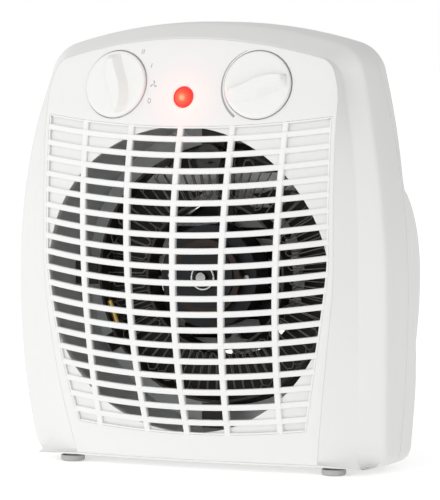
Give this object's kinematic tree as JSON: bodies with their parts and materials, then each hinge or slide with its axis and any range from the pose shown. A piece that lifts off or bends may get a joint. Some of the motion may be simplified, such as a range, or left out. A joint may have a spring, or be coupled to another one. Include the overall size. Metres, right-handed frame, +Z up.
{
  "type": "upright fan heater",
  "caption": "Compact white upright fan heater with a domed slatted front grille, two rotary controls, a pilot lamp and small round feet.",
  "frame": {"origin": "middle of the footprint, on the floor under the feet", "axes": "+Z up, the grille faces -Y, +X to the right of someone facing the grille"},
  "size_m": [0.234, 0.1308, 0.257],
  "materials": {
    "white_casing": "fine satin moulded polypropylene",
    "white_grille": "satin moulded polypropylene",
    "white_knob": "smooth satin moulded ABS",
    "duct_metal": "dull galvanised sheet",
    "foot_rubber": "matt grey",
    "zinc_screw": "zinc plated",
    "shaft_steel": "ground",
    "switch_plastic": "moulded",
    "bimetal": "rolled strip",
    "lamp_red": "clear tinted lens, lit",
    "lamp_body": "moulded",
    "mica": "pressed mica board",
    "nichrome": "drawn resistance wire",
    "cutout_metal": "drawn cap",
    "fuse_gold": "plated",
    "bracket_zinc": "zinc plated pressing",
    "laminations": "stacked electrical steel",
    "winding": "enamelled copper, taped",
    "bearing_chrome": "plated",
    "rotor_metal": "cast cage",
    "fan_black": "moulded",
    "block_plastic": "moulded",
    "gland_black": "moulded",
    "wire_brown": "insulation",
    "wire_blue": "insulation",
    "wire_white": "insulation",
    "wire_black": "insulation"
  },
  "bodies": {
    "housing": {"front_casing": "white_casing", "rear_casing": "white_casing", "front_panel": "white_casing", "front_grille": "white_grille", "air_duct": "duct_metal", "fan_shroud": "fan_black", "foot_front_left": "foot_rubber", "foot_front_right": "foot_rubber", "foot_rear_left": "foot_rubber", "foot_rear_right": "foot_rubber", "casing_screws": "zinc_screw", "duct_screws": "zinc_screw", "rotary_switch": "switch_plastic", "thermostat": "switch_plastic", "bimetal_strip": "bimetal", "lamp_lens": "lamp_red", "lamp_holder": "lamp_body", "element_hub_ring": "mica", "element_rim_ring": "mica", "mica_cards": "mica", "heating_wire_low": "nichrome", "heating_wire_high": "nichrome", "thermal_cutout": "cutout_metal", "thermal_fuse": "fuse_gold", "motor_bracket": "bracket_zinc", "stator": "laminations", "front_winding": "winding", "rear_winding": "winding", "front_bearing": "bearing_chrome", "rear_bearing": "bearing_chrome", "motor_screws": "zinc_screw", "terminal_block": "block_plastic", "cord_gland": "gland_black", "live_wire": "wire_brown", "neutral_wire": "wire_blue", "lamp_wire": "wire_white", "motor_wire": "wire_black"},
    "switch_dial": {"switch_knob": "white_knob", "switch_shaft": "shaft_steel"},
    "thermostat_dial": {"thermostat_knob": "white_knob", "thermostat_shaft": "shaft_steel"},
    "fan_rotor": {"motor_shaft": "shaft_steel", "rotor": "rotor_metal", "fan": "fan_black", "fan_nut": "zinc_screw"}
  },
  "joints": [
    {"name": "switch_turn", "type": "hinge", "parent": "housing", "child": "switch_dial", "pos_m": [-0.044, -0.0451, 0.221], "axis": [-0.1008, -0.9682, 0.229], "range_deg": [-50, 25]},
    {"name": "thermostat_turn", "type": "hinge", "parent": "housing", "child": "thermostat_dial", "pos_m": [0.044, -0.0451, 0.221], "axis": [0.1008, -0.9682, 0.229], "range_deg": [-50, 50]},
    {"name": "fan_spin", "type": "hinge", "parent": "housing", "child": "fan_rotor", "pos_m": [0, 0.0175, 0.1098], "axis": [0, 1, 0], "continuous": true}
  ]
}
